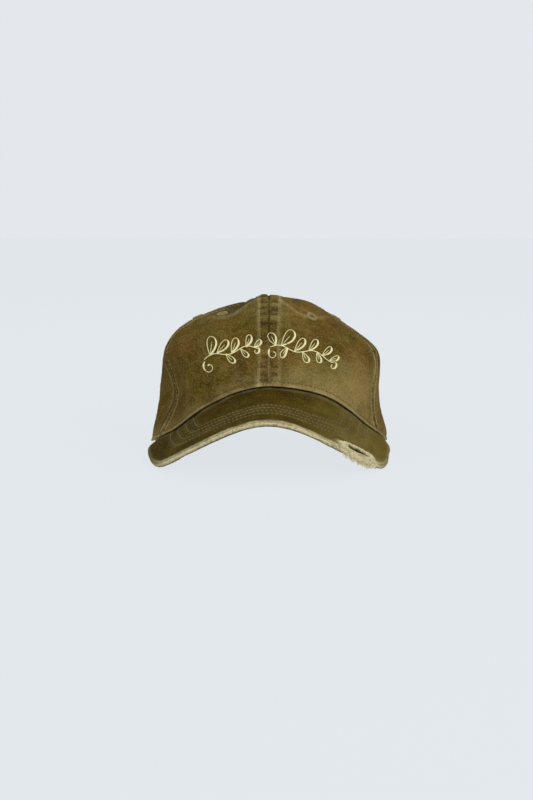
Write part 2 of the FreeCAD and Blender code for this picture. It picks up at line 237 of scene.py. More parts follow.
def edge_angle(a, raise_by=0.0):
    """Profile angle of the crown's lower edge at angle a from the front."""
    a = np.asarray(a, float)
    v = np.zeros_like(a)
    for _ in range(12):
        v = at_height(arch_height(HALF_WIDTH * np.cos(v) * np.sin(a)))
    v = np.where(np.abs(a) < pi / 2, v, 0)
    return at_climb(climb(v) + raise_by)


def seam_offset(a, v):
    """Signed distance from the nearest seam, and which seam that is."""
    best, which = np.full(np.shape(a), 1e3), np.zeros(np.shape(a), int)
    for i, seam in enumerate(SEAMS.values()):
        turn = (a - seam + pi) % (2 * pi) - pi
        d = turn * reach(a, v)
        nearer = np.abs(d) < np.abs(best)
        best, which = np.where(nearer, d, best), np.where(nearer, i, which)
    return best, which


def beside_seam(seam, offset, s):
    """Angle and profile angle at that distance from a seam and that climb."""
    v = at_climb(s)
    return seam + offset / reach(seam, v), v


def seam_foot(seam):
    """Climb at which a seam starts, over the visor, the rim or the rear opening."""
    return climb(at_height(WINDOW_HIGH) if seam == pi else edge_angle(seam))


def row_distance(which):
    """How far the stitch rows lie from a seam: the front one has a broad band."""
    return np.where(which == 0, 6.6, 3.1)


# Heights of the deep puckers across the front seam's band.
RUNGS = [41, 50.5, 62.5, 68, 87, 98, 103.5, 107.5, 111.5]


def top_crease(p):
    """The crease over the front panels, from the seam down to the sides, and the hollow behind it
    on the wearer's right, which is darkened with painted shade."""
    x, z = p[..., 0], p[..., 2]
    line = 99.5 + 13.5 * bell(np.abs(x + 1) - 6, 11.5)
    near = step(6.5, 9, np.abs(x)) * step(52, 30, np.abs(x)) * (p[..., 1] < -8)
    hollow = bell(z - line - 3.6, 2.4) * step(-42, -26, x) * step(-7, -11, x) * (p[..., 1] < -8)
    return bell(z - line, 0.8) * near, hollow


def crown_detail(a, v, p):
    """Small relief of seams, stitch rows and puckers, how worn it is, and its painted shade."""
    d, which = seam_offset(a, v)
    centre = which == 0
    row, gap = row_distance(which), np.abs(d)
    s = climb(v)
    fade = step(3, 12, reach(a, v) * 0.9)
    inside = 1 - step(row - 0.6, row + 1.4, gap)
    # Seams: welts with their puckers, the stitch rows and the cloth gathered beside them.
    pucker = grain(s, which * 31.0 + np.sign(d) * 3, d * 0.22, 4.6, 2.2)
    pucker += 0.5 * grain(s, which * 17.0, d * 0.5, 2.1, 5.0)
    relief = 0.45 * inside + np.where(centre, 0.75, 0.34) * inside * pucker
    relief -= 1.3 * bell(gap, 0.55) + 0.34 * bell(gap - row, 0.55)
    relief += 0.35 * bell(gap - row - 1.5, 0.9)
    relief += 0.4 * grain(s, which * 9.0, d * 0.12, 6.5, 7.7) * bell(gap - row - 3, 4.0)
    # The folded front seam on the wearer's right, then the deep puckers of the front one.
    fold = bell(p[..., 2] - 48, 20) * (which == 5)
    relief += fold * (1.3 * bell(d + 8.6, 2.0) - 1.7 * bell(d + 5.4, 1.1))
    rung = sum(bell(p[..., 2] - z + 0.3 * noise(p, 3.0, z), 0.75) for z in RUNGS)
    rung *= centre * inside * step(0.6, 1.8, gap)
    relief += 0.35 * centre * inside * bell(gap - row * 0.5, 2.0) - 0.7 * rung
    crease, hollow = top_crease(p)
    relief += 0.8 * crease - 1.6 * hollow
    relief *= fade
    # The turned lower edge, the cloth's own unevenness and its fine wrinkles.
    over = s - climb(edge_angle(a))
    relief += 0.8 * bell(over, 2.0) - 0.3 * bell(over - 3.6, 0.7)
    relief += 0.22 * noise(p, 5.0, 3.3) + 0.10 * noise(p, 2.2, 9.1)
    wrinkle = bell(noise(p * (1, 1, 0.7), 21, 30.0), 0.04) + 0.7 * bell(noise(p, 9, 33.0), 0.05)
    wrinkle *= 0.5 + 0.5 * noise(p, 15, 40.0)
    relief -= 0.45 * wrinkle
    patchy = 0.5 + 0.5 * noise(p, 7.0, 12.0)
    low_centre = centre * (1 - step(24, 44, over))
    ridge = np.where(centre, 0.55, 0.40) * (0.1 + 1.2 * patchy)
    worn = fade * (ridge * bell(gap - row - 0.6, 0.75) + 0.4 * crease
                   + 0.30 * inside * np.clip(pucker, 0, 1)
                   + 0.14 * bell(gap - row - 2.0, 1.6) * patchy
                   + 0.35 * fold * bell(d + 8.2, 0.7))
    worn += 0.75 * bell(over, 1.5) * (0.4 + 0.7 * patchy) + 0.3 * bell(over - 5, 3.5) * patchy
    worn += 0.8 * low_centre * bell(gap, 0.5) + 0.10 * bell(noise(p, 11, 50.0), 0.06)
    # Painted shade: darker in the pucker valleys, the deep puckers, the hollow, the seam groove,
    # beyond the gathered cloth, in the fold's valley and in the wrinkles.
    dark = fade * (1.12 * inside * np.clip(-pucker - 0.2, 0, 1) + 0.95 * rung + hollow
                   + 0.6 * bell(gap, 0.5) * (1 - low_centre)
                   + 0.25 * bell(gap - row - 3.2, 1.6) + 0.85 * fold * bell(d + 5.4, 1.0))
    return relief, np.clip(worn, 0, 1.2), np.clip(dark + 0.26 * wrinkle, 0, 1)


# Patches of the crown made paler (+) or browner and darker (-).  Some are uneven fading of the
# cloth; the others are painted light and shade: the lower front on the wearer's left, facing the
# key light, is painted lighter, and the wearer's right side, away from it, darker.
PATCHES = [
    ((46, -84, 50), (26, 60, 13), 0.85),
    ((22, -90, 62), (14, 60, 12), 0.45),
    ((70, -60, 40), (12, 60, 24), 0.35),
    ((52, -60, 84), (22, 60, 15), -0.32),
    ((-50, -80, 84), (22, 60, 16), -0.10),
    ((-84, -20, 40), (10, 50, 30), -0.22),
    ((0, -60, 108), (22, 40, 9), 0.20),
]


def crown_patches(p):
    total = 0.30 * noise(p, 26, 5.5) + 0.16 * noise(p, 9, 2.5)
    for centre, size, amount in PATCHES:
        total += amount * blob(p, centre, size)
    return total


def crown_skin(a, v):
    """Outer face of the worn crown with all its relief."""
    p, n = crown_frame(a, v)
    relief, worn, dark = crown_detail(a, v, p)
    return p + n * relief[..., None], n, worn, dark


# ---- meshes ----
FLOOR_GAP = 0.00005          # no point goes lower than this, in metres


def add_object(name, data):
    obj = bpy.data.objects.new(name, data)
    bpy.context.scene.collection.objects.link(obj)
    return obj


def make_mesh(name, verts, faces, uvs, **attributes):
    """Mesh object from points in millimetres; attributes are one value a point."""
    mesh = bpy.data.meshes.new(name)
    points = (np.asarray(verts, float) + (0, SHIFT_Y, 0)) / 1000
    points[:, 2] = np.maximum(points[:, 2], FLOOR_GAP)
    faces = np.asarray(faces, int)
    mesh.from_pydata(points.tolist(), [], faces.tolist())
    for label, values in attributes.items():
        layer = mesh.attributes.new(label, "FLOAT", "POINT")
        layer.data.foreach_set("value", np.asarray(values, np.float32).ravel())
    corners = np.asarray(uvs, float)[faces.ravel()] / 1000
    mesh.uv_layers.new(name="UVMap").data.foreach_set("uv", corners.astype(np.float32).ravel())
    mesh.polygons.foreach_set("use_smooth", np.ones(len(faces), bool))
    return add_object(name, mesh)


def shell(name, outer, inner, uv, keep=None, **attributes):
    """Closed sheet between two grids of points; keep says which of its cells to keep."""
    rows, columns = outer.shape[:2]
    quads = grid_faces(rows, columns)
    quads = quads if keep is None else quads[keep]
    across, upward = outer[0, 1] - outer[0, 0], outer[1, 0] - outer[0, 0]
    if np.dot(np.cross(across, upward), outer[0, 0] - inner[0, 0]) < 0:
        quads = quads[:, ::-1]
    edges = np.concatenate([quads[:, [k, (k + 1) % 4]] for k in range(4)])
    keys = np.minimum(edges[:, 0], edges[:, 1]) * rows * columns + np.maximum(*edges.T)
    _, first, counts = np.unique(keys, return_index=True, return_counts=True)
    rim = edges[first[counts == 1]]
    under = rows * columns
    sides = np.stack([rim[:, 1], rim[:, 0], rim[:, 0] + under, rim[:, 1] + under], -1)
    faces = np.concatenate([quads, quads[:, ::-1] + under, sides])
    verts = np.concatenate([outer.reshape(-1, 3), inner.reshape(-1, 3)])
    uvs = np.tile(uv.reshape(-1, 2), (2, 1))
    used, faces = np.unique(faces, return_inverse=True)
    values = {label: np.tile(np.broadcast_to(value, (rows, columns)).ravel(), 2)[used]
              for label, value in attributes.items()}
    return make_mesh(name, verts[used], faces.reshape(-1, 4), uvs[used], **values)


def finish_piece(obj, body, material, slot, *nodes):
    obj.data.materials.append(material)
    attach(obj, body)
    if nodes:
        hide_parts(*nodes)
    return obj


# ---- materials ----
def colour(r, g, b):
    """Linear colour from ordinary 0-255 screen values."""
    def linear(c):
        c = c / 255
        return c / 12.92 if c <= 0.04045 else ((c + 0.055) / 1.055) ** 2.4
    return (linear(r), linear(g), linear(b), 1)


class Nodes:
    """Short names for building a material's node tree."""

    def __init__(self, name):
        self.material = bpy.data.materials.new(name)
        self.material.use_nodes = True
        self.tree = self.material.node_tree
        self.shader = self.tree.nodes["Principled BSDF"]

    def add(self, kind, inputs=None, **settings):
        node = self.tree.nodes.new("ShaderNode" + kind)
        for key, value in settings.items():
            setattr(node, key, value)
        for key, value in (inputs or {}).items():
            self.plug(node.inputs[key], value)
        return node

    def plug(self, socket, value):
        """Links or sets a socket; a tuple is a screen colour, a list a linear one."""
        if isinstance(value, bpy.types.NodeSocket):
            self.tree.links.new(value, socket)
        else:
            socket.default_value = colour(*value) if isinstance(value, tuple) else value

    def math(self, operation, a, b=0.0, clamp=False):
        return self.add("Math", {0: a, 1: b}, operation=operation, use_clamp=clamp).outputs[0]

    def plus(self, a, b):
        return self.math("ADD", a, b)

    def times(self, a, b, clamp=False):
        return self.math("MULTIPLY", a, b, clamp)

    def wave(self, value, length):
        return self.math("SINE", self.times(value, 2 * pi / length))

    def mix(self, factor, a, b):
        return self.add("Mix", {0: factor, 6: a, 7: b}, data_type="RGBA").outputs[2]

    def spread(self, value, low, high, to_low=0.0, to_high=1.0):
        return self.add("MapRange", {0: value, 1: low, 2: high, 3: to_low, 4: to_high}).outputs[0]

    def place(self):
        return self.add("TexCoord").outputs["Object"]

    def uv(self):
        return self.add("SeparateXYZ", {0: self.add("UVMap").outputs["UV"]}).outputs

    def noise(self, vector, scale, detail=3.0, rough=0.55):
        return self.add("TexNoise", {"Vector": vector, "Scale": scale, "Detail": detail,
                                     "Roughness": rough}).outputs["Fac"]

    def attribute(self, name):
        return self.add("Attribute", attribute_name=name).outputs["Fac"]

    def shade(self, sockets):
        for socket, value in sockets.items():
            self.plug(self.shader.inputs[socket], value)
        return self.material

    def finish(self, tint, height, strength, depth, rough, specular=0.5):
        """Gives the shader its tint, its relief and its shine."""
        bump = self.add("Bump", {"Strength": strength, "Distance": depth, "Height": height})
        return self.shade({"Base Color": tint, "Normal": bump.outputs[0], "Roughness": rough,
                           "Specular IOR Level": specular})


def twill(name, olive, brown, pale, dark, rub=(194, 177, 122)):
    """Garment-washed cotton twill, with patches that are partly dye and partly painted light and
    shade, pale worn ridges, painted shade from its dark attribute, and a diagonal weave.
    """
    t = Nodes(name)
    where = t.place()
    wear, shade, patch = t.attribute("wear"), t.attribute("dark"), t.attribute("patch")
    broad = t.noise(where, 26, 2.0)
    blotch = t.noise(where, 85, 4.0, 0.6)
    speck = t.noise(where, 420, 3.0, 0.65)
    slub = t.noise(where, 1000, 2.0, 0.6)
    yarn = t.noise(where, 2300, 2.0, 0.6)
    base = t.mix(t.spread(broad, 0.41, 0.59), olive, brown)
    base = t.mix(t.spread(blotch, 0.32, 0.50, 0.60, 0.0), base, dark)
    # The patch attribute paints paler and darker patches, partly dye and partly painted light and
    # shade.
    lighter = t.plus(t.spread(patch, 0.0, 1.0, 0.0, 0.65), t.spread(blotch, 0.55, 0.8, 0.0, 0.30))
    base = t.mix(lighter, base, pale)
    base = t.mix(t.spread(patch, 0.0, -1.0, 0.0, 0.75), base, dark)
    rubbed = t.times(wear, t.spread(speck, 0.32, 0.68, 0.45, 1.15), clamp=True)
    base = t.mix(rubbed, base, rub)
    # Painted shade: the dark attribute darkens the cloth towards deep brown in its valleys and
    # grooves.
    base = t.mix(t.times(shade, 0.72, clamp=True), base, (38, 29, 10))
    base = t.mix(t.spread(slub, 0.30, 0.49, 0.58, 0.0), base, dark)
    base = t.mix(t.spread(slub, 0.51, 0.72, 0.0, 0.42), base, pale)
    base = t.mix(t.spread(yarn, 0.35, 0.65, 0.16, 0.0), base, (46, 36, 14))
    base = t.mix(t.spread(yarn, 0.55, 0.75, 0.0, 0.12), base, pale)
    u, v = t.uv()[:2]
    ribs = t.wave(t.plus(u, t.times(v, 0.62)), WEAVE)
    picks = t.wave(t.math("SUBTRACT", t.times(u, 0.62), v), WEAVE * 0.8)
    woven = t.plus(ribs, t.times(picks, 0.35))
    base = t.mix(t.spread(woven, -1.3, 0.2, 0.22, 0.0), base, (40, 31, 11))
    height = t.plus(t.times(woven, 0.5), t.times(yarn, 1.2))
    height = t.plus(t.plus(height, t.times(speck, 1.4)), t.times(slub, 1.6))
    return t.finish(base, height, 0.6, 0.0004, 0.93, 0.03)


def metal(name, tint, rough, mottling, scale=400):
    """Metal with a little variation in its tone and surface."""
    t = Nodes(name)
    mottle = t.noise(t.place(), scale, 4.0, 0.6)
    darker = [c * 0.45 for c in colour(*tint)[:3]] + [1]
    base = t.mix(t.spread(mottle, 0.35, 0.7, 2 * mottling, 0.0), tint, darker)
    t.shade({"Metallic": 1.0})
    shine = t.spread(mottle, 0.3, 0.7, rough - 0.1, min(rough + 0.1, 1))
    return t.finish(base, mottle, 0.4, 0.0002, shine)


def thread(name, tint, shaded, rough, ply):
    """Spun thread: fine slanting plies along the texture's length, and a little fluff."""
    t = Nodes(name)
    u, v = t.uv()[:2]
    twist = t.wave(t.plus(u, t.times(v, 0.55)), ply)
    fluff = t.noise(t.place(), 1500, 3.0, 0.6)
    base = t.mix(t.spread(twist, -1.0, 0.4, 0.55, 0.0), tint, shaded)
    base = t.mix(t.spread(fluff, 0.3, 0.55, 0.35, 0.0), base, shaded)
    return t.finish(base, t.plus(twist, t.times(fluff, 0.8)), 0.5, 0.00015, rough, 0.25)


def ribbon(name, tint, shaded, pitch):
    """Plain-woven band or cloth whose yarns follow the object's own axes."""
    t = Nodes(name)
    where = t.place()
    x, _, z = t.add("SeparateXYZ", {0: where}).outputs
    woven = t.times(t.wave(z, pitch), t.wave(x, pitch))
    fibre = t.noise(where, 700, 4.0, 0.6)
    base = t.mix(t.spread(woven, -1.0, 0.6, 0.5, 0.0), tint, shaded)
    base = t.mix(t.spread(fibre, 0.3, 0.55, 0.5, 0.0), base, shaded)
    return t.finish(base, t.plus(woven, fibre), 0.5, 0.0002, 0.85, 0.15)


WEAVE = 0.00085              # from rib to rib of the twill, in metres
PLY = 0.00055                # from ply to ply of a sewing thread
CROWN_CLOTH = twill("crown_twill", (97, 81, 22), (104, 77, 26), (172, 150, 92), (56, 42, 8))
VISOR_CLOTH = twill("visor_twill", (69, 57, 5), (76, 59, 8), (140, 121, 56), (40, 31, 5),
                    rub=(228, 214, 168))
BRASS = metal("aged_brass", (196, 164, 100), 0.32, 0.22, 420)
BUTTON_METAL = metal("button_metal", (150, 148, 140), 0.35, 0.25)
TAB_CLOTH = ribbon("tab_twill", (94, 78, 26), (56, 44, 12), 0.0009)
LABEL_CLOTH = ribbon("label_ribbon", (214, 206, 184), (168, 158, 130), 0.0007)
INNER_CLOTH = twill("inner_twill", (112, 95, 48), (116, 92, 48), (160, 142, 94), (76, 62, 28))
BOARD = twill("visor_board", (196, 178, 138), (186, 166, 124), (216, 202, 164), (30, 20, 6))
PALE_THREAD = thread("pale_thread", (168, 152, 98), (96, 80, 38), 0.8, PLY)
VISOR_THREAD = thread("visor_thread", (152, 136, 84), (78, 64, 26), 0.8, PLY)
OLIVE_THREAD = thread("olive_thread", (120, 103, 50), (66, 53, 18), 0.8, PLY)
CREAM_FRAY = thread("cream_fray", (242, 232, 194), (206, 190, 146), 0.9, 0.0005)
SATIN = thread("satin_thread", (252, 244, 186), (212, 198, 132), 0.42, 0.0005)
EYELET_THREAD = thread("eyelet_thread", (158, 142, 92), (88, 72, 34), 0.75, 0.0006)


# ---- crown panels ----
def panel_columns(first, last):
    """Angles across a panel, closer together beside its seams."""
    span = np.degrees(last - first)
    near = np.concatenate([np.arange(0, 0.9, 0.18), np.arange(0.9, 6.2, 0.42)])
    middle = np.linspace(6.2, span - 6.2, int((span - 12.4) / 0.85))
    return first + np.radians(np.concatenate([near, middle, (span - near)[::-1]]))


def in_window(a, v):
    """True in the rear opening, which is cut by the crown's shape before its slouch."""
    x, y, z = np.moveaxis(new_crown(a, v), -1, 0)
    return (y > 0) & ((x / (WINDOW_HALF - 0.5)) ** 2 + (z / (WINDOW_HIGH - 0.5)) ** 2 < 1)


EYELET_HOLE = 2.6
EYELETS = {
    "eyelet_front_left": (rad(31), rad(54)), "eyelet_front_right": (rad(-44), rad(60)),
    "eyelet_side_left": (rad(92), rad(52)), "eyelet_side_right": (rad(-92), rad(52)),
    "eyelet_back_left": (rad(150), rad(54)), "eyelet_back_right": (rad(-150), rad(54)),
}


def crown_panel(name, first, last):
    a = panel_columns(first, last)
    rise = np.concatenate([np.arange(0, 6, 0.6), np.arange(6, 1e3, 0.95)])
    start = climb(edge_angle(a))
    top = climb(np.radians(89.2))
    share = rise[rise < (top - start.min())]
    s = start + (top - start) * (share / share[-1])[:, None]
    v = at_climb(s)
    a = np.broadcast_to(a, v.shape)
    outer, _, worn, dark = crown_skin(a, v)
    base, n = crown_frame(a, v)
    cell_a, cell_v = cell_middles(a), cell_middles(v)
    keep = ~in_window(cell_a, cell_v)
    cells = crown_frame(cell_a, cell_v)[0]
    for hole in EYELETS.values():
        keep &= np.linalg.norm(cells - crown_frame(*hole)[0], axis=-1) > EYELET_HOLE
    across = (a - (first + last) / 2) * reach(a, v)
    obj = shell(name + "_cloth", outer, base - n, np.stack([across, s], -1), keep.ravel(),
                wear=worn, dark=dark, patch=crown_patches(outer))
    finish_piece(obj, "cap", CROWN_CLOTH, "crown_twill", name)


PANELS = {
    "front_panel_left": (0, FRONT_SEAM), "side_panel_left": (FRONT_SEAM, REAR_SEAM),
    "back_panel_left": (REAR_SEAM, pi), "back_panel_right": (-pi, -REAR_SEAM),
    "side_panel_right": (-REAR_SEAM, -FRONT_SEAM), "front_panel_right": (-FRONT_SEAM, 0),
}
for panel_name, (panel_first, panel_last) in PANELS.items():
    crown_panel(panel_name, panel_first, panel_last)


# ---- visor ----
VISOR_END = rad(72)
VISOR_FRONT_Y, VISOR_WIDEST_Y, VISOR_HALF = -166.0, -78.0, 85.0
VISOR_DROP = 14.5
VISOR_SWEEP = 115            # how far round its outline runs to each side, in degrees
# Pushes that give the visor's two ends their own shapes.
VISOR_TIPS = [
    ((-80, -126, 4), (16, 24, 14), (-1.2, -7.0, -3.0)),
    ((-84, -64, 4), (16, 22, 14), (-3.6, 0, 3.4)),
    ((82, -124, 4), (16, 24, 14), (2.6, -5.0, -2.0)),
    ((84, -56, 4), (16, 22, 14), (6.0, 0, 4.5)),
]


def visor_seam(share, inward=0.0):
    """Point of the visor's inner edge, under the crown's lower edge."""
    a = VISOR_END * share
    v = edge_angle(a)
    p, n = crown_frame(a, v)
    inward = inward * (1 - 0.75 * np.asarray(share) ** 2)
    return p - n * inward[..., None] - np.array((0, 0, 0.15))


def visor_outline(share):
    """Point on the middle of the visor's free edge, from the wearer's right to the left."""
    turn = VISOR_SWEEP * np.asarray(share, float)
    a = np.radians(np.minimum(np.abs(turn), 90))
    power = 2 / 2.5
    behind = np.maximum(np.abs(turn) - 90, 0) / (VISOR_SWEEP - 90)
    x = VISOR_HALF * np.sin(a) ** power - 2.5 * behind ** 2
    y = VISOR_WIDEST_Y + (VISOR_FRONT_Y - VISOR_WIDEST_Y) * np.cos(a) ** power + 35 * behind
    arch = np.where(turn < 0, 0.91, 0.965) * (np.hypot(x, 45) - 45)
    z = ARCH_RISE - VISOR_DROP + VISOR_DROP * (y - VISOR_FRONT_Y) / 68 - arch
    side = step(-115, -75, y)
    p = np.stack([np.copysign(x, turn), y, z * (1 - side) + 3.0 * side], -1)
    return pushed(p, VISOR_TIPS)


def visor_frame(share):
    """Inner edge, unit direction outwards, width and downward direction of the visor there."""
    def ends(u):
        seam, edge = visor_seam(u, 2.3), visor_outline(u)
        close = 0.78 * step(0.80, 1.0, np.abs(u))[..., None]
        return seam, edge * (1 - close) + seam * close
    share = np.asarray(share, float)
    seam, edge = ends(share)
    along = edge - seam
    span = np.linalg.norm(along, axis=-1, keepdims=True)
    along = along / span
    e = 0.004
    after, before = ends(np.minimum(share + e, 1)), ends(np.maximum(share - e, -1))
    beside = after[0] + after[1] - before[0] - before[1]
    down = unit(np.cross(beside, along))
    down = down * np.where(down[..., 2:] > 0, -1, 1)
    return seam, along, span[..., 0], down


EDGE_ROUND = 2.0             # half the visor's thickness, and the radius of its free edge
EDGE_ARC = 150               # millimetres along the free edge to one unit of share
TEAR_ARC = 172               # the same at the torn place
ROW_SPACING = [16.0, 21.6, 27.2, 32.8]         # stitch rows, in from the free edge
TEAR = (0.376, 5.0, 12.0, 3.9)                 # share across, in from the edge, half sizes


def tear_distance(share, inward):
    """Distance-like value from the middle of the torn place: 1 on its rim."""
    at, middle, long_half, short_half = TEAR
    along = (share - at) * TEAR_ARC
    ragged = 1 + 0.18 * np.sin(along * 1.7) + 0.12 * np.sin(along * 4.3 + 1)
    return np.hypot(along / long_half, (inward - middle + 0.02 * along) / (short_half * ragged))


def visor_sheet(share, inward, turn, drop):
    """Smooth face of a layer, its outward direction and the visor's width there.  inward is the
    distance in from the free edge; turn goes from 0 on the top face, round the free edge, to
    180 degrees under it; drop is the depth below the skin."""
    seam, along, span, down = visor_frame(share)
    middle = seam + down * EDGE_ROUND + along * np.maximum(span - inward, 0)[..., None]
    out = np.sin(turn)[..., None] * along - np.cos(turn)[..., None] * down
    return middle + out * (EDGE_ROUND - drop), out, span


def visor_surface(share, inward, turn, drop=0.0):
    """The same face with its relief, how worn it is, and its painted shade."""
    p, out, span = visor_sheet(share, inward, turn, drop)
    top = np.cos(turn)
    lift = 0.22 * noise(p, 9, 2.0) + 0.10 * noise(p, 2.6, 6.0)
    worn, dark = np.zeros_like(lift), np.zeros_like(lift)
    from_edge = plan_inward(p)
    for row in ROW_SPACING:
        lift -= 0.22 * bell(from_edge - row, 0.6)
        worn += 0.06 * bell(np.abs(from_edge - row) - 1.2, 0.7)
        # painted shade in the row's groove
        dark += 0.22 * bell(from_edge - row, 0.6)
    patchy = 0.5 + 0.5 * noise(p, 6.0, 21.0)
    fold = step(0.45, 0.98, np.sin(turn)) * step(-0.75, -0.1, top)
    fold += 0.85 * bell(np.minimum(inward, 20) - 0.8, 1.3) * (top > 0)
    fold *= (0.65 + 0.5 * patchy) * (1 - 0.75 * step(0.42, 0.68, np.abs(share)))
    lift += fold * (0.30 * noise(p, 1.5, 4.0) + 0.2 * noise(p, 3.5, 14.0))
    wrinkle = bell(noise(p * (1, 1, 1.6), 17, 30.0), 0.05) + 0.6 * bell(noise(p, 8, 33.0), 0.05)
    lift -= 0.30 * wrinkle
    gap = tear_distance(share, inward)
    near = np.maximum(bell(gap - 1.35, 0.26), step(1.25, 1.05, gap)) * (top > 0.3)
    lift += 0.9 * near * (inward > 1)
    back = span - inward
    worn += fold + 1.2 * near + 0.35 * bell(back - 3.0, 2.0) * patchy
    # Painted shade in the wrinkles and along the back, where the visor runs under the crown's
    # edge.
    dark += 0.20 * wrinkle + 0.5 * step(3.4, 1.0, back)
    p = p + out * lift[..., None]
    p[..., 2] = np.maximum(p[..., 2], 0.15)
    return p, out, np.clip(worn, 0, 1.2), np.clip(dark, 0, 1)


OUTLINE_PLAN = visor_outline(np.linspace(-1, 1, 500))[:, :2]


def plan_inward(p):
    """Distance in plan from the visor's free edge."""
    x, y = p[..., :1], p[..., 1:2]
    return np.stack([np.sqrt(((x[row] - OUTLINE_PLAN[:, 0]) ** 2
                              + (y[row] - OUTLINE_PLAN[:, 1]) ** 2).min(-1))
                     for row in range(len(p))])


def visor_layer(name, turns, drop, thick, material, slot, hole=None):
    """One cloth or board of the visor.  turns are the degrees that it bends through at the free
    edge; hole is the size of its torn opening and how far from the edge that starts."""
    turns = np.radians(turns)
    share = np.sin(np.linspace(-pi / 2, pi / 2, 300))
    flat = np.concatenate([np.linspace(1, 0.13, 76), np.linspace(0.13, 0, 32)[1:]])
    spans = visor_frame(share)[2]
    inward = np.concatenate([flat[:, None] * spans, np.zeros((len(turns) - 1, len(share)))])
    turn = np.concatenate([np.full(len(flat), turns[0]), turns[1:]])
    turn = np.broadcast_to(turn[:, None], inward.shape)
    share = np.broadcast_to(share, inward.shape)
    outer, _, worn, dark = visor_surface(share, inward, turn, drop)
    inner = visor_sheet(share, inward, turn, drop + thick)[0]
    keep = None
    if hole:
        gap = cell_middles(tear_distance(share, inward) + 0.25 * noise(outer, 1.4, 3.0))
        keep = (gap > hole[0]) | (turn[1:, 1:] > 1.0) | (inward[1:, 1:] < hole[1])
        keep = keep.ravel()
    uv = np.stack([EDGE_ARC * share, inward - EDGE_ROUND * turn], -1)
    # Random patches of tone, and painted light over the half on the wearer's left, which faces
    # the key light.
    patch = 0.30 * noise(outer, 24, 3.5) + 0.18 * noise(outer, 8, 1.5) - 0.12
    obj = shell(name, outer, inner, uv, keep, wear=worn, dark=dark,
                patch=patch + 0.75 * step(0, 80, outer[..., 0]))
    finish_piece(obj, "cap", material, slot, name.rsplit("_", 1)[0])


visor_layer("visor_top_cloth_skin", range(0, 97, 12), 0, 0.7, VISOR_CLOTH, "visor_twill",
            hole=(1, 0))
visor_layer("visor_under_cloth_skin", [*range(180, 107, -12), 99], 0.05, 0.7, VISOR_CLOTH,
            "visor_twill")
visor_layer("visor_board_sheet", range(0, 181, 30), 0.85, 0.5, BOARD, "visor_plastic",
            hole=(1.1, TEAR[1] - 0.4))


# ---- inside of the crown ----
def inner_strip(node, a, s, depths, slot, wear=0.15):
    """Sheet inside the crown on a grid of angles and climbs, between two depths."""
    v = at_climb(s)
    p, n = crown_frame(a, v)
    outer, inner = (p - n * (d + 0 * s)[..., None] for d in depths)
    obj = shell(node + "_cloth", outer, inner, np.stack([a * reach(a, v), s], -1),
                wear=wear, dark=0, patch=0.3 * noise(p, 20, 1.0))
    finish_piece(obj, "cap", INNER_CLOTH, slot, node)


for seam_name, seam in SEAMS.items():
    s = np.linspace(seam_foot(seam) + 2, climb_at_radius(14), 90)[:, None] + np.zeros(15)
    across = np.linspace(-6.5, 6.5, 15)
    arched = 0.25 * bell(np.abs(across) - 5.2, 0.5) + 0.2 * grain(s, seam, across, 4)
    inner_strip("seam_tape_" + seam_name, beside_seam(seam, across, s)[0], s,
                (1.25, 1.75 + arched), "tape_cotton")

BAND_HEIGHT = 31.0
BAND_ROWS = (0.08, 0.93)     # its stitch rows, as shares of its height


def band_climb(a, share):
    """Climb at that share of the sweatband's height."""
    return (climb(edge_angle(a)) + np.where(np.abs(a) < rad(70), -1.2, 0.9)
            + BAND_HEIGHT * share)


def band_depth(share):
    """How far the sweatband's free face lies inside the crown."""
    return 4.2 + 0.7 * np.sin(pi * share) ** 0.35


a = np.radians(np.linspace(-131, 131, 420))
share = np.concatenate([[0, 0.01, 0.025, 0.05], np.linspace(0.08, 0.94, 30), [0.97, 0.99, 1.0]])
share = share[:, None]
s = band_climb(a, share)
a = np.broadcast_to(a, s.shape)
crease = 0.35 * grain(a * HALF_WIDTH, s * 0.3, 0, 7.0, 2.0)
crease -= 0.5 * sum(bell(share - row, 0.015) for row in BAND_ROWS)
inner_strip("sweatband", a, s, (3.6, band_depth(share) + crease), "sweatband_cotton",
            wear=0.25 + 0.3 * grain(a * HALF_WIDTH, s, 0, 9.0, 2.0))


# ---- rear opening ----
def back_place(x, z):
    """Angle and profile angle of the back of the smooth crown seen straight on at x, z."""
    v = at_height(z)
    return pi - np.arcsin(np.clip(x / (HALF_WIDTH * np.cos(v)), -1, 1)), v


# Section of the binding: in from the middle line towards the opening, and out from the crown.
BINDING = [(-3.1, -0.2), (-2.9, 0.6), (-1.5, 0.95), (0, 0.85), (1.5, 0.95), (2.9, 0.9),
           (3.3, 0.2), (3.3, -1.0), (2.9, -1.9), (1.5, -2.0), (0, -1.9), (-1.5, -2.0),
           (-2.9, -1.7), (-3.1, -0.8)]
t = np.linspace(0, pi, 160)
inset, lift = np.array(BINDING).T[..., None]
x, z = (WINDOW_HALF - inset) * np.cos(t), np.maximum((WINDOW_HIGH - inset) * np.sin(t), 0.0)
p, n = crown_frame(*back_place(x, z))
points = p + n * (lift + np.sign(lift) * 0.18 * noise(p, 3.0, 8.0))[..., None]
uv = np.stack(np.broadcast_arrays(t * 56, 1.3 * np.arange(len(BINDING))[:, None]), -1)
index = np.arange(x.size).reshape(x.shape)
caps = [np.stack([index[:6, end], index[1:7, end], index[12:6:-1, end], index[13:7:-1, end]], -1)
        for end in (0, -1)]
faces = np.concatenate([grid_faces(*x.shape, wrap=(1, 0)), caps[0], caps[1][:, ::-1]])
lip = bell(inset + 2.9, 0.8) + 0.5 * bell(inset - 2.9, 0.8)
worn = (lip * (0.5 + 0.4 * noise(points, 6.0, 2.0))).ravel()
binding = make_mesh("rear_binding_cloth", points.reshape(-1, 3), faces, uv.reshape(-1, 2),
                    wear=worn, dark=0 * worn, patch=crown_patches(points).ravel())
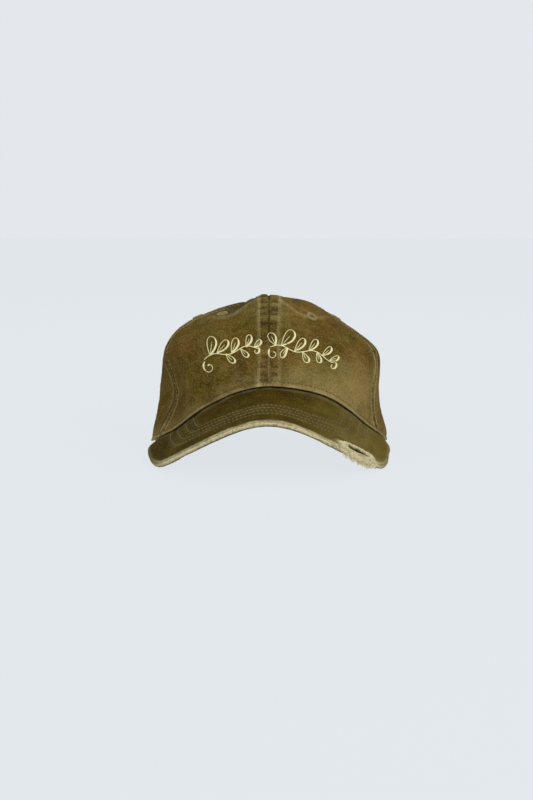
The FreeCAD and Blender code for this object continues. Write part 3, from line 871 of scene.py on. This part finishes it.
finish_piece(binding, "cap", CROWN_CLOTH, "crown_twill", "rear_arch_binding")


# ---- strap ----
BACK_RADIUS = HALF_WIDTH ** 2 / HALF_LENGTH
AXIS_Y = HALF_LENGTH - BACK_RADIUS
STRAP_OUTER = BACK_RADIUS - 1.2 - LEAN * 23.5 - 0.6 - 2.5
TAIL_OUTER = STRAP_OUTER - 1.75
STRAP_MIDDLE = 13.45         # height of the strap's middle line
STRAP_ROW = 7.4              # of its stitch rows, from that line


def strap_line(radius, first, last, straight):
    """Plan line of a strap and its outward directions: a straight run of that length, then an
    arc between two angles in degrees from the back."""
    turn = np.radians(np.linspace(first, last, int((last - first) / 0.6)))
    normal = np.stack([np.sin(turn), np.cos(turn)], -1)
    line = radius * normal
    if straight:
        run = np.linspace(-straight, 0, int(straight / 0.8), endpoint=False)[:, None]
        line = np.concatenate([line[0] + run * (normal[0, 1], -normal[0, 0]), line])
        normal = np.concatenate([normal[0] + 0 * run, normal])
    return line + (0, AXIS_Y), normal


def upright(plan, z):
    """Points over a plan line at heights z."""
    return np.stack(np.broadcast_arrays(plan[:, 0], plan[:, 1], z), -1)


def strap_cloth(name, body, node, *run):
    """Flat strap with turned edges and stitched borders."""
    line, normal = strap_line(*run)
    length = distance_along(line)
    u = np.concatenate([[-10, -9.9, -9.6, -9.1], np.linspace(-8.6, 8.6, 35), [9.1, 9.6, 9.9, 10]])
    u = u[:, None]
    z = STRAP_MIDDLE + u + 0 * length
    p, n = upright(line, z), upright(normal, 0 * z)
    half = 0.69 * np.sqrt(1 - np.clip(np.abs(u) - 9.0, 0, 1) ** 2 * 0.9)
    rows = bell(np.abs(u) - STRAP_ROW, 0.45)
    relief = -0.22 * rows + 0.10 * grain(length, z, 0, 3.0, 1.0)
    half = half + np.where(np.abs(u) > 9.5, 0, relief)
    outer, inner = (p - n * (0.7 - face * half)[..., None] for face in (1, -1))
    worn = bell(np.abs(u) - 9.6, 0.7) * (0.5 + 0.5 * noise(p, 5.0, 3.0)) + 0.15 * rows
    obj = shell(name, outer, inner, np.stack([length + 0 * z, z], -1),
                wear=worn, dark=0, patch=0.3 * noise(p, 15, 4.0))
    finish_piece(obj, body, CROWN_CLOTH, "strap_twill", node)


strap_cloth("strap_cloth", "cap", "strap", STRAP_OUTER, -30, 25, 23)
strap_cloth("strap_tail_cloth", "tail", "strap_tail", TAIL_OUTER, 6, 46, 0)


# ---- button and eyelets ----
def lathe_mesh(name, profile, place, normal, steps, ripple, patch=0.0):
    """Turned piece on an axis at place; profile lists (radius, height); ripple shapes it."""
    normal = Vector(normal).normalized()
    side = normal.orthogonal().normalized()
    other = normal.cross(side)
    turn = np.linspace(0, 2 * pi, steps, endpoint=False)
    r, h = ripple(*(np.array(profile).T[..., None] + 0 * turn), turn)
    p = (np.array(place) + (r * np.cos(turn))[..., None] * np.array(side)
         + (r * np.sin(turn))[..., None] * np.array(other) + h[..., None] * np.array(normal))
    uv = np.stack([turn * 6 + 0 * r, h + r], -1).reshape(-1, 2)
    zero = np.zeros(r.size)
    return make_mesh(name, p.reshape(-1, 3), grid_faces(*r.shape, wrap=(0, 1)), uv,
                     wear=zero + 0.2, dark=zero, patch=zero + patch)


def gathers(r, h, turn):
    """Folds of the cloth drawn round the button."""
    fold = np.cos(turn * 6) ** 8
    return r, h - 0.35 * fold * (r > 1.5) * (h > 0.2)


DOME = [(0.02, 3.3), (1, 3.27), (2, 3.15), (3, 2.95), (4, 2.66), (5, 2.25), (6, 1.75),
        (6.8, 1.25), (7.5, 0.7), (7.9, 0.25), (7.8, -0.2), (7.0, -0.35), (0.02, -0.35)]
apex = crown_frame(0.0, pi / 2)[0]
button = lathe_mesh("button_cover", DOME, apex + (0, 0, 0.7), (0, -0.08, 1), 72, gathers, 0.15)
finish_piece(button, "cap", CROWN_CLOTH, "crown_twill", "top_button")


def overcast(r, h, turn):
    """Close radial buttonhole stitches."""
    wave = np.abs(np.cos(turn * 17)) ** 0.6
    return r + 0.22 * wave * (r > 3.2), h + 0.28 * wave * (h > 0)


EYELET = [(1.75, -1.6), (1.7, -0.4), (1.85, 0.25), (2.2, 0.62), (2.7, 0.8), (3.2, 0.78),
          (3.7, 0.6), (4.05, 0.3), (4.15, -0.1), (3.9, -0.6)]
for eyelet_name, (eyelet_a, eyelet_v) in EYELETS.items():
    p, n = crown_skin(np.array([eyelet_a]), np.array([eyelet_v]))[:2]
    eyelet = lathe_mesh(eyelet_name + "_stitched", EYELET, p[0], n[0], 204, overcast)
    finish_piece(eyelet, "cap", EYELET_THREAD, "eyelet_thread", eyelet_name)


# ---- stitches and threads ----
def tubes(name, lines, radii, material, body, slot, sides=6):
    """Round threads along many polylines, as one mesh; radii has one list for each line."""
    verts, faces, uvs, base = [], [], [], 0
    turn = np.linspace(0, 2 * pi, sides, endpoint=False)
    for line, radius in zip(lines, radii):
        line, radius = np.asarray(line, float), np.asarray(radius, float)
        uv = np.broadcast_arrays(distance_along(line)[:, None], turn * radius.mean())
        uvs.append(np.stack(uv, -1).reshape(-1, 2))
        ahead = unit(np.gradient(line, axis=0))
        helper = np.where(np.abs(ahead[:, :1]) < 0.8, (1.0, 0, 0), (0, 1.0, 0))
        side = unit(np.cross(ahead, helper))
        other = np.cross(ahead, side)
        round_it = np.cos(turn)[:, None] * side[:, None] + np.sin(turn)[:, None] * other[:, None]
        verts.append((line[:, None] + radius[:, None, None] * round_it).reshape(-1, 3))
        faces.append(base + grid_faces(len(line), sides, wrap=(0, 1)))
        base += len(line) * sides
    obj = make_mesh(name, np.concatenate(verts), np.concatenate(faces), np.concatenate(uvs))
    return finish_piece(obj, body, material, slot)


BOW = np.array([-0.32, 0.10, 0.20, 0.20, 0.10, -0.32])         # height along a stitch
TAPER = np.array([0.55, 0.9, 1, 1, 0.9, 0.55])


def stitches(line, normal, seed, length=2.4, gap=0.8, thick=0.27):
    """Short bowed threads along a line that lies on the cloth; returns their lines and radii."""
    run = distance_along(line)
    starts = np.arange(0.4, run[-1] - length, length + gap)
    starts += np.random.default_rng(seed).uniform(-0.12, 0.12, len(starts))
    paths = []
    for start in starts:
        at = start + length * np.linspace(0, 1, len(BOW))
        p, n = (np.stack([np.interp(at, run, part[:, k]) for k in range(3)], -1)
                for part in (line, normal))
        paths.append(p + n * BOW[:, None])
    return paths, [thick * TAPER] * len(paths)


def crown_row(place, seed, length=2.3):
    return stitches(*crown_skin(*place)[:2], seed, length)


def sew(name, rows, material, slot, body="cap"):
    """One mesh of the threads in several rows."""
    paths, radii = [], []
    for row_paths, row_radii in rows:
        paths += row_paths
        radii += list(row_radii)
    return tubes(name, paths, radii, material, body, slot)


for number, (seam_name, seam) in enumerate(SEAMS.items()):
    rows = []
    for side in (-1, 1):
        offset = side * float(row_distance(number))
        top = climb_at_radius(max(abs(offset) * 1.6, 8.5))
        s = np.arange(seam_foot(seam) + (3 if seam == pi else 1.5), top, 0.5)
        rows.append(crown_row(beside_seam(seam, offset, s), number * 2 + side + 1))
    sew("stitches_seam_" + seam_name, rows, PALE_THREAD, "tape_cotton")

EDGE_ROW = 3.6               # height of the stitch row over the crown's lower edge
a = np.radians(np.linspace(-74, 74, 900))
rows = [crown_row((a, edge_angle(a, EDGE_ROW)), 40, 2.6)]
for side in (-1, 1):
    a = side * np.radians(np.linspace(92, 142, 300))
    rows.append(crown_row((a, at_climb(EDGE_ROW + 0 * a)), 41 + side, 2.6))
sew("stitches_edge", rows, OLIVE_THREAD, "tape_cotton")

SHARES = np.linspace(-1, 1, 900)
FRAMES = visor_frame(SHARES)


def visor_row(row):
    """Share and distance in from the edge, all along a stitch row parallel to the free edge."""
    plan = visor_outline(np.linspace(-0.97, 0.97, 700))[:, :2]
    tangent = unit(np.gradient(plan, axis=0))
    line = plan + row * np.stack([-tangent[:, 1], tangent[:, 0]], -1)
    seam, along, span = FRAMES[0][:, :2], FRAMES[1][:, :2], FRAMES[2]
    # Each point of the line lies on the crosswise line that it changes sides of nearby.
    offset = line[:, None] - seam
    gap = along[:, 0] * offset[..., 1] - along[:, 1] * offset[..., 0]
    crossing = np.sign(gap[:, 1:]) != np.sign(gap[:, :-1])
    away = np.abs(SHARES[:-1] - line[:, :1] / 90) + np.where(crossing, 0, 9)
    away += np.abs(gap[:, 1:]) > 8
    best = away.argmin(1)
    along, span = along[best], span[best]
    outward = np.einsum("ij,ij->i", line - seam[best], along) / (along ** 2).sum(1)
    good = (away.min(1) < 1) & (outward > 1.0) & (outward < span)
    return SHARES[best][good], (span - outward)[good]


VISOR_ROWS = [visor_row(row) for row in ROW_SPACING]
for face, turn, drop, seed in (("top", 0, 0.0, 60), ("under", pi, 0.05, 70)):
    rows = []
    for number, (share, inward) in enumerate(VISOR_ROWS):
        p, n = visor_surface(share[None], inward[None], np.full((1, len(share)), turn), drop)[:2]
        rows.append(stitches(p[0], n[0], seed + number, 2.2, gap=0.9, thick=0.22))
    sew("stitches_visor_" + face, rows, VISOR_THREAD, "visor_twill")

for strap_name, body, *run in (("strap", "cap", STRAP_OUTER, -29, 24, 22),
                               ("tail", "tail", TAIL_OUTER, 7, 45, 0)):
    line, normal = strap_line(*run)
    way = upright(normal, 0)
    rows = [stitches(upright(line, STRAP_MIDDLE + side * STRAP_ROW) - way * 0.25, way,
                     80 + side * 7) for side in (-1, 1)]
    sew("stitches_" + strap_name, rows, OLIVE_THREAD, "strap_twill", body)

t = np.linspace(0.03, pi - 0.03, 500)
rows = []
for inset in (-1.6, 1.9):
    x, z = (WINDOW_HALF - inset) * np.cos(t), (WINDOW_HIGH - inset) * np.sin(t)
    p, n = crown_frame(*back_place(x, z))
    rows.append(stitches(p + n * 0.85, n, 90))
sew("stitches_binding", rows, OLIVE_THREAD, "tape_cotton")

rows = []
for number, seam in enumerate(SEAMS.values()):
    s = np.arange(seam_foot(seam) + (4 if seam == pi else 30), climb_at_radius(16), 0.6)
    for side in (-5.2, 5.2):
        p, n = crown_frame(*beside_seam(seam, side, s))
        rows.append(stitches(p - n * 1.95, -n, 100 + number))
sew("stitches_tapes", rows, PALE_THREAD, "tape_cotton")

a = np.radians(np.linspace(-129, 129, 1200))
rows = []
for share in BAND_ROWS:
    p, n = crown_frame(a, at_climb(band_climb(a, share)))
    rows.append(stitches(p - n * (band_depth(share) - 0.35), -n, 120, 2.6))
sew("stitches_sweatband", rows, PALE_THREAD, "sweatband_cotton")


# ---- torn place in the visor's edge ----
draw = np.random.default_rng(5)


def fray(share, inward, turn, limits, curl=1.0):
    """Loose curly threads that start on the visor and leave it outwards, then fall; limits are
    those of their length, droop and thickness."""
    length, droop, thick = (draw.uniform(*pair, len(share)) for pair in limits)
    base, out = (part[0] for part in visor_surface(share[None], inward[None], turn[None])[:2])
    along, down = visor_frame(share)[1::2]
    side = np.cross(along, down)
    lean = draw.uniform(-1, 1, (len(share), 2))
    way = unit(out * 0.7 + along * lean[:, :1] * 0.6 + side * lean[:, 1:] * 0.8)
    t = np.linspace(0, 1, 8)[:, None]
    lines = []
    for k in range(len(share)):
        line = base[k] - out[k] * 0.2 + length[k] * way[k] * t * (1 - 0.35 * t)
        line[:, 2] -= (droop[k] * t ** 2)[:, 0]
        one, two = draw.uniform(0, 2 * pi, 2)
        twist = (side[k] * (np.sin(one + 5.5 * t) - math.sin(one))
                 + along[k] * (np.sin(two + 6.5 * t) - math.sin(two)))
        line += twist * curl * 0.11 * length[k]
        line[:, 2] = np.maximum(line[:, 2], 0.4)
        lines.append(line)
    return lines, thick[:, None] * np.linspace(1, 0.6, 8)


at, middle, long_half, short_half = TEAR
RIM_THREADS, FRINGE_THREADS, EDGE_THREADS = 360, 230, 260
around = draw.uniform(-0.3, pi + 0.3, RIM_THREADS)
grow = draw.uniform(1.12, 1.5, RIM_THREADS)
rim = fray(at + grow * long_half * np.cos(around) / TEAR_ARC,
           middle + grow * short_half * np.sin(around), 0 * around,
           ((0.7, 1.5), (0, 0.2), (0.18, 0.32)), 2.0)
fringe = fray(at + np.clip(draw.normal(0, 0.55, FRINGE_THREADS), -1, 1) * 0.088,
              draw.uniform(0, 0.6, FRINGE_THREADS), draw.uniform(0.9, 2.3, FRINGE_THREADS),
              ((1.0, 3.2), (0.3, 2.4), (0.16, 0.32)), 2.4)
edge = fray(draw.uniform(-0.93, 0.93, EDGE_THREADS), np.zeros(EDGE_THREADS),
            draw.uniform(0.9, 1.9, EDGE_THREADS), ((0.4, 1.3), (0, 0.3), (0.06, 0.10)))
sew("frayed_edge", [rim, fringe, edge], CREAM_FRAY, "visor_twill")


# ---- embroidery ----
a = np.radians(np.linspace(-64, 64, 260))
s = climb(edge_angle(a)) + np.linspace(4, 74, 150)[:, None]
a = np.broadcast_to(a, s.shape)
points = crown_skin(a, at_climb(s))[0].reshape(-1, 3)
FRONT = BVHTree.FromPolygons(points.tolist(), grid_faces(*a.shape).tolist())


def on_front(x, z):
    """Point and outward direction of the front panels, seen straight on at x, z."""
    hit, normal = FRONT.ray_cast(Vector((x, -300, z)), Vector((0, 1, 0)))[:2]
    return np.array(hit), np.array(normal if normal.y < 0 else -normal)


def on_arc(u, w):
    """Front-view place of a point u along and w above the embroidery's bowed base line."""
    slope = -0.0094 * u
    return u - slope * w, 81.5 - 0.0047 * u ** 2 + w


def stroke(u, w, thin=0.27, thick=0.80):
    """Satin-stitched line, thick where it runs down to the left and thin elsewhere."""
    x, z = on_arc(np.asarray(u, float), np.asarray(w, float))
    way = unit(np.stack([np.gradient(x), np.gradient(z)], -1))
    press = np.clip(-way @ np.array((0.42, 0.91)), 0, 1) ** 1.3
    radius = thin + (thick - thin) * press
    ends = np.minimum(np.arange(len(x)), np.arange(len(x))[::-1]) / 4
    radius *= np.clip(0.45 + 0.55 * ends, 0, 1)
    placed = [on_front(px, pz) for px, pz in zip(x, z)]
    line = np.array([p + n * (0.25 - 0.1 * r) for (p, n), r in zip(placed, radius)])
    return line, radius


def leaf(u, w, angle, length, width):
    """Open teardrop of a leaf with its tip away from the stem, and its midrib."""
    ca, sa = math.cos(rad(angle)), math.sin(rad(angle))

    def bent(out, across, *widths):
        across = across + 0.10 * out ** 2 / length
        return stroke(u + out * ca - across * sa, w + out * sa + across * ca, *widths)
    t = np.linspace(0, 2 * pi, 46)
    return [bent(length * (1 - np.cos(t)) / 2, width * np.sin(t) * np.sin(t / 2) ** 1.2),
            bent(np.linspace(0.08, 0.72, 12) * length, 0, 0.22, 0.3)]


def tendril(u, w, angle, size, turns, hand=1):
    """Curl that winds in from its start."""
    t = np.linspace(0, 1, 44)
    turn = rad(angle) + hand * 2 * pi * turns * t
    radius = size * (1 - 0.8 * t)
    return stroke(u + np.cumsum(np.cos(turn) * radius) / 7,
                  w + np.cumsum(np.sin(turn) * radius) / 7)


threads = []
for first, last, waves in ((-47, -7, 1.6), (1, 50, 1.9)):
    share = np.linspace(0, 1, 90)
    u = first + (last - first) * share
    threads.append(stroke(u, 1.6 * np.sin(2 * pi * waves * share), 0.34, 0.5))
LEAVES = [                    # along, above, direction, length, half width
    (-42, 1.2, 60, 12, 4.2), (-37, 1.4, 26, 11, 3.2), (-31, -0.6, -62, 8.5, 2.6),
    (-27, -1.2, 52, 10.5, 3.2), (-20, 0.4, -58, 7.5, 2.3), (-16, 1.0, 58, 8.5, 2.6),
    (-10.5, 0.2, 34, 7, 2.2), (5, 1.4, 112, 9, 3.4), (9, 1.2, 48, 13, 4.6),
    (14, 0.4, -128, 8, 2.6), (19, -1.2, 52, 10.5, 3.2), (25, -0.8, -52, 8, 2.6),
    (29, 0.8, 58, 9, 2.8), (35, 1.2, -60, 7, 2.2), (39, 0.2, 50, 8, 2.4),
    (45, -1.0, 30, 6.5, 2.0),
]
for item in LEAVES:
    threads += leaf(*item)
for item in ((-46, -1.0, 200, 5.0, 1.1), (-8, 0.5, -30, 2.6, 0.9, -1),
             (2, -0.5, 215, 4.2, 1.0), (49, -0.5, -20, 2.6, 0.9, -1)):
    threads.append(tendril(*item))
sprig = tubes("leaf_embroidery", *zip(*threads), SATIN, "cap", "embroidery_thread", sides=8)
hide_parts("front_embroidery")


# ---- pieces that keep their CAD shape ----
for node, material in {"inside_label": LABEL_CLOTH, "button_stem": BUTTON_METAL,
                       "buckle_tab": TAB_CLOTH, "buckle_frame": BRASS, "buckle_pin": BRASS,
                       "buckle_lever": BRASS}.items():
    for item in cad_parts[node].material_slots:
        item.material = material


# ---- stage, light and camera ----
def area_light(name, place, size, power):
    """Round light that looks at the cap."""
    light = bpy.data.lights.new(name, "AREA")
    light.shape = "DISK"
    light.size = size
    light.energy = power
    obj = add_object(name, light)
    obj.location = place
    way = Vector((0, 0, 0.05)) - obj.location
    obj.rotation_euler = way.to_track_quat("-Z", "Y").to_euler()


world = bpy.data.worlds.new("studio")
bpy.context.scene.world = world
world.use_nodes = True
world.node_tree.nodes["Background"].inputs[0].default_value = colour(228, 232, 236)
area_light("key", (0.8, -1.3, 0.8), 0.5, 9)
area_light("fill", (-1.2, -0.9, 0.7), 1.0, 2)
area_light("rim", (0.2, 1.0, 1.2), 0.9, 4)
bpy.context.scene.view_settings.view_transform = "Standard"

floor_mesh = bpy.data.meshes.new("floor")
floor_mesh.from_pydata([(-6, -6, 0), (6, -6, 0), (6, 6, 0), (-6, 6, 0)], [], [(0, 1, 2, 3)])
floor = add_object("floor", floor_mesh)
floor_mesh.materials.append(Nodes("floor").shade({
    "Base Color": [0.045, 0.045, 0.045, 1], "Emission Color": (226, 231, 236),
    "Emission Strength": 0.945, "Roughness": 0.95, "Specular IOR Level": 0.0}))

camera = add_object("camera", bpy.data.cameras.new("camera"))
camera.data.lens = 65.2
camera.data.clip_start, camera.data.clip_end = 0.05, 50
camera.location = (-0.0013, (-1130 + SHIFT_Y) / 1000, 0.187)
camera.rotation_euler = (rad(90 - 7.85), 0, 0)
bpy.context.scene.camera = camera
